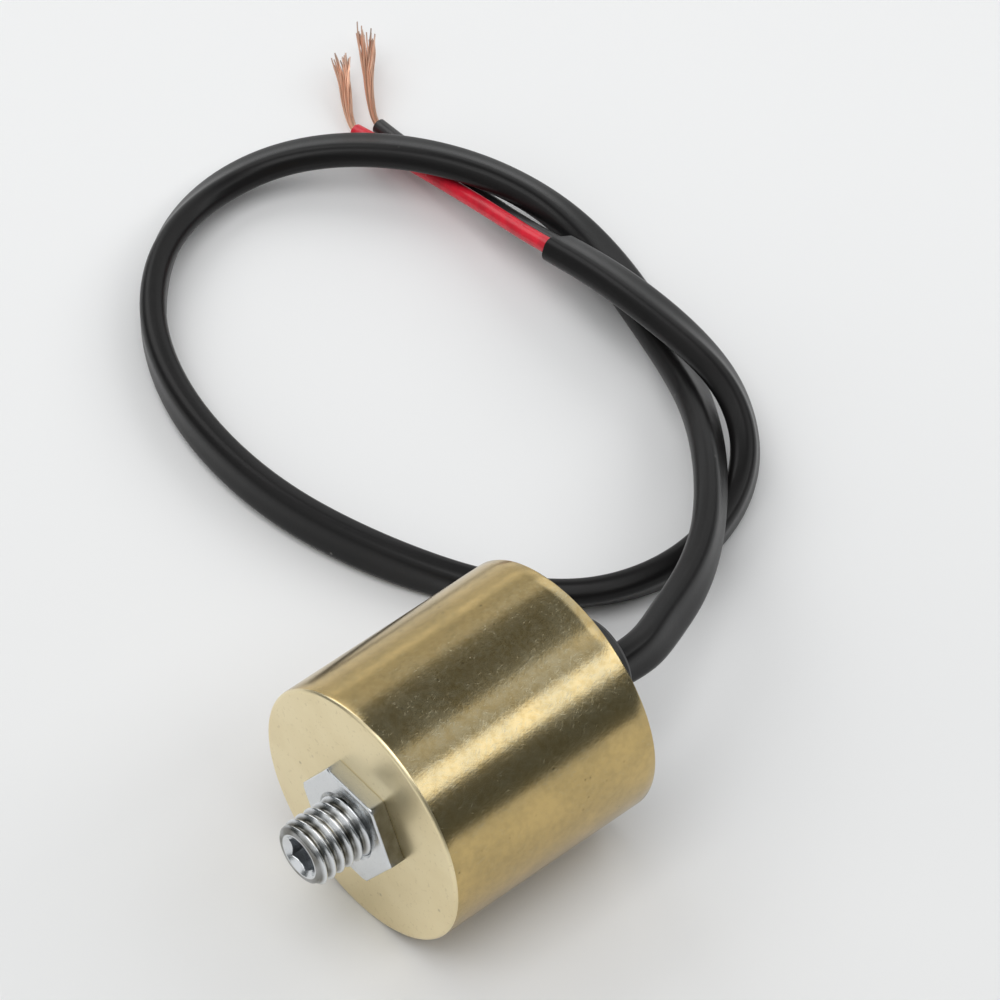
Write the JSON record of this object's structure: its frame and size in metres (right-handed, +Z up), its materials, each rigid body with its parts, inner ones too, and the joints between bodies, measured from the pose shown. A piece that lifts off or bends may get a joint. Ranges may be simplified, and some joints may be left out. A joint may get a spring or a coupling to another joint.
{
  "type": "compressor solenoid valve",
  "caption": "Round brass solenoid valve with a hollow threaded inlet stud and lock nut, a sprung plunger inside and a flat two-core lead with stripped ends.",
  "frame": {"origin": "on the surface that the can lies on, under the middle of the stud, can and boss", "axes": "Y along the valve's axis with the stud pointing to -Y, Z up"},
  "size_m": [0.122, 0.1004, 0.032],
  "materials": {
    "brass": "turned brass, satin with light tarnish and scratches",
    "zinc_plate": "bright zinc plate",
    "stainless": "drawn stainless steel",
    "magnetic_steel": "turned soft iron",
    "spring_steel": "spring wire",
    "seal_rubber": "matt nitrile rubber",
    "bobbin_nylon": "natural nylon",
    "enamelled_copper": "enamelled copper wire",
    "coil_tape": "yellow polyester tape",
    "splice_sleeving": "woven sleeving",
    "red_insulation": "red PVC",
    "black_insulation": "black PVC",
    "cap_plastic": "moulded black plastic",
    "sheath_pvc": "satin black PVC",
    "bare_copper": "bare copper strands"
  },
  "bodies": {
    "valve": {"brass_body": "brass", "inlet_stud": "zinc_plate", "lock_nut": "zinc_plate", "guide_tube": "stainless", "tube_o_ring": "seal_rubber", "return_spring": "spring_steel", "fixed_core": "magnetic_steel", "core_o_ring": "seal_rubber", "core_clip": "spring_steel", "front_flux_washer": "magnetic_steel", "rear_flux_washer": "magnetic_steel", "flux_sleeve": "magnetic_steel", "coil_bobbin": "bobbin_nylon", "coil_winding": "enamelled_copper", "coil_tape": "coil_tape", "coil_leads": "enamelled_copper", "splice_sleeves": "splice_sleeving", "red_tail": "red_insulation", "black_tail": "black_insulation", "end_cap": "cap_plastic", "cable_sheath": "sheath_pvc", "red_core": "red_insulation", "black_core": "black_insulation", "red_strands": "bare_copper", "black_strands": "bare_copper"},
    "plunger": {"plunger": "magnetic_steel", "plunger_seal": "seal_rubber"}
  },
  "joints": [
    {"name": "plunger_slide", "type": "slide", "parent": "valve", "child": "plunger", "axis": [0, 1, 0], "range_m": [0, 0.0012], "stiffness_N_per_m": 1900, "springref_m": -0.0008, "deforming": ["return_spring"]}
  ]
}
